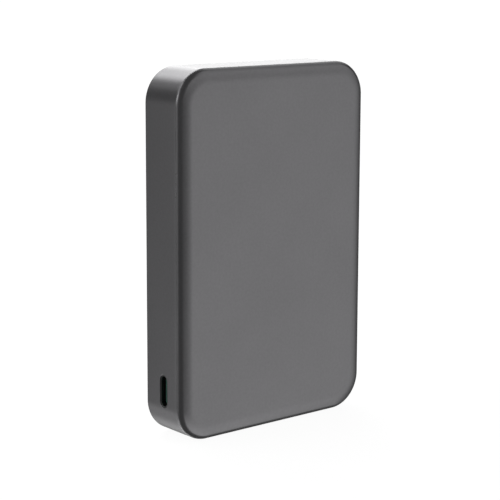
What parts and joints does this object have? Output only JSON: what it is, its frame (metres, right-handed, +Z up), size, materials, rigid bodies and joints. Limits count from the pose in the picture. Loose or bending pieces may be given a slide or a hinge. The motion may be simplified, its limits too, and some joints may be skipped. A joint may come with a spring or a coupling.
{
  "type": "power bank",
  "caption": "Slim pocket power bank with a smooth rounded front cover, flat side band, one edge port, one edge button with charge lights and a magnetic charging face.",
  "frame": {"origin": "centre of the short end it stands on (the bottom of the bounding box)", "axes": "+Z up along the case's height, +X towards the button side, +Y towards the charging face, so the smooth front face looks along -Y and the port along -X"},
  "size_m": [0.0661, 0.0154, 0.101],
  "materials": {
    "shell_front": "satin",
    "shell_band": "satin",
    "shell_rear": "matte",
    "soft_ring": "matte",
    "button_plastic": "satin",
    "clear_diffuser": "gloss",
    "circuit_board": "satin",
    "protection_mask": "satin",
    "gunmetal": "satin",
    "port_insulator": "satin",
    "gold_plating": "satin",
    "bright_steel": "satin",
    "zinc_screw": "satin",
    "black_plastic": "satin",
    "led_package": "satin",
    "inductor_powder": "matte",
    "chip_epoxy": "matte",
    "capacitor_ceramic": "satin",
    "pouch_foil": "satin",
    "nickel_tab": "satin",
    "wire_red": "satin",
    "wire_black": "satin",
    "sensor_epoxy": "gloss",
    "foam": "matte",
    "adhesive_tape": "satin",
    "graphite": "satin",
    "fish_paper": "matte",
    "magnet_nickel": "satin",
    "shunt_steel": "satin",
    "litz_copper": "satin",
    "ferrite": "matte",
    "seal_adhesive": "matte"
  },
  "bodies": {
    "casing": {"front_cover": "shell_front", "side_frame": "shell_band", "rear_cover": "shell_rear", "charge_pad": "soft_ring", "rear_gasket": "seal_adhesive", "light_guide": "clear_diffuser", "main_board": "circuit_board", "usb_c_shell": "gunmetal", "usb_c_tongue": "port_insulator", "usb_c_contacts": "gold_plating", "tact_switch_body": "bright_steel", "status_leds": "led_package", "power_inductors": "inductor_powder", "board_chips": "chip_epoxy", "board_capacitors": "capacitor_ceramic", "board_screws": "zinc_screw", "case_screws": "zinc_screw", "cell_front": "pouch_foil", "cell_rear": "pouch_foil", "cell_tabs": "nickel_tab", "protection_board": "protection_mask", "protection_chips": "chip_epoxy", "lead_positive": "wire_red", "lead_negative": "wire_black", "cell_thermistor": "sensor_epoxy", "foam_pad": "foam", "cell_tape": "adhesive_tape", "heat_sheet": "graphite", "insulation_sheet": "fish_paper", "magnet_ring": "magnet_nickel", "steel_ring": "shunt_steel", "alignment_magnet": "magnet_nickel", "charging_coil": "litz_copper", "ferrite_sheet": "ferrite", "coil_leads": "litz_copper", "coil_thermistor": "sensor_epoxy"},
    "power_button": {"power_button": "button_plastic"},
    "tact_plunger": {"tact_switch_plunger": "black_plastic"}
  },
  "joints": [
    {"name": "button_press", "type": "slide", "parent": "casing", "child": "power_button", "axis": [-1, 0, 0], "range_m": [0, 0.0003]},
    {"name": "plunger_press", "type": "slide", "parent": "casing", "child": "tact_plunger", "axis": [-1, 0, 0], "range_m": [0, 0.0003]}
  ],
  "couplings": [
    {"joint": "plunger_press", "follows": "button_press", "ratio": 1}
  ]
}
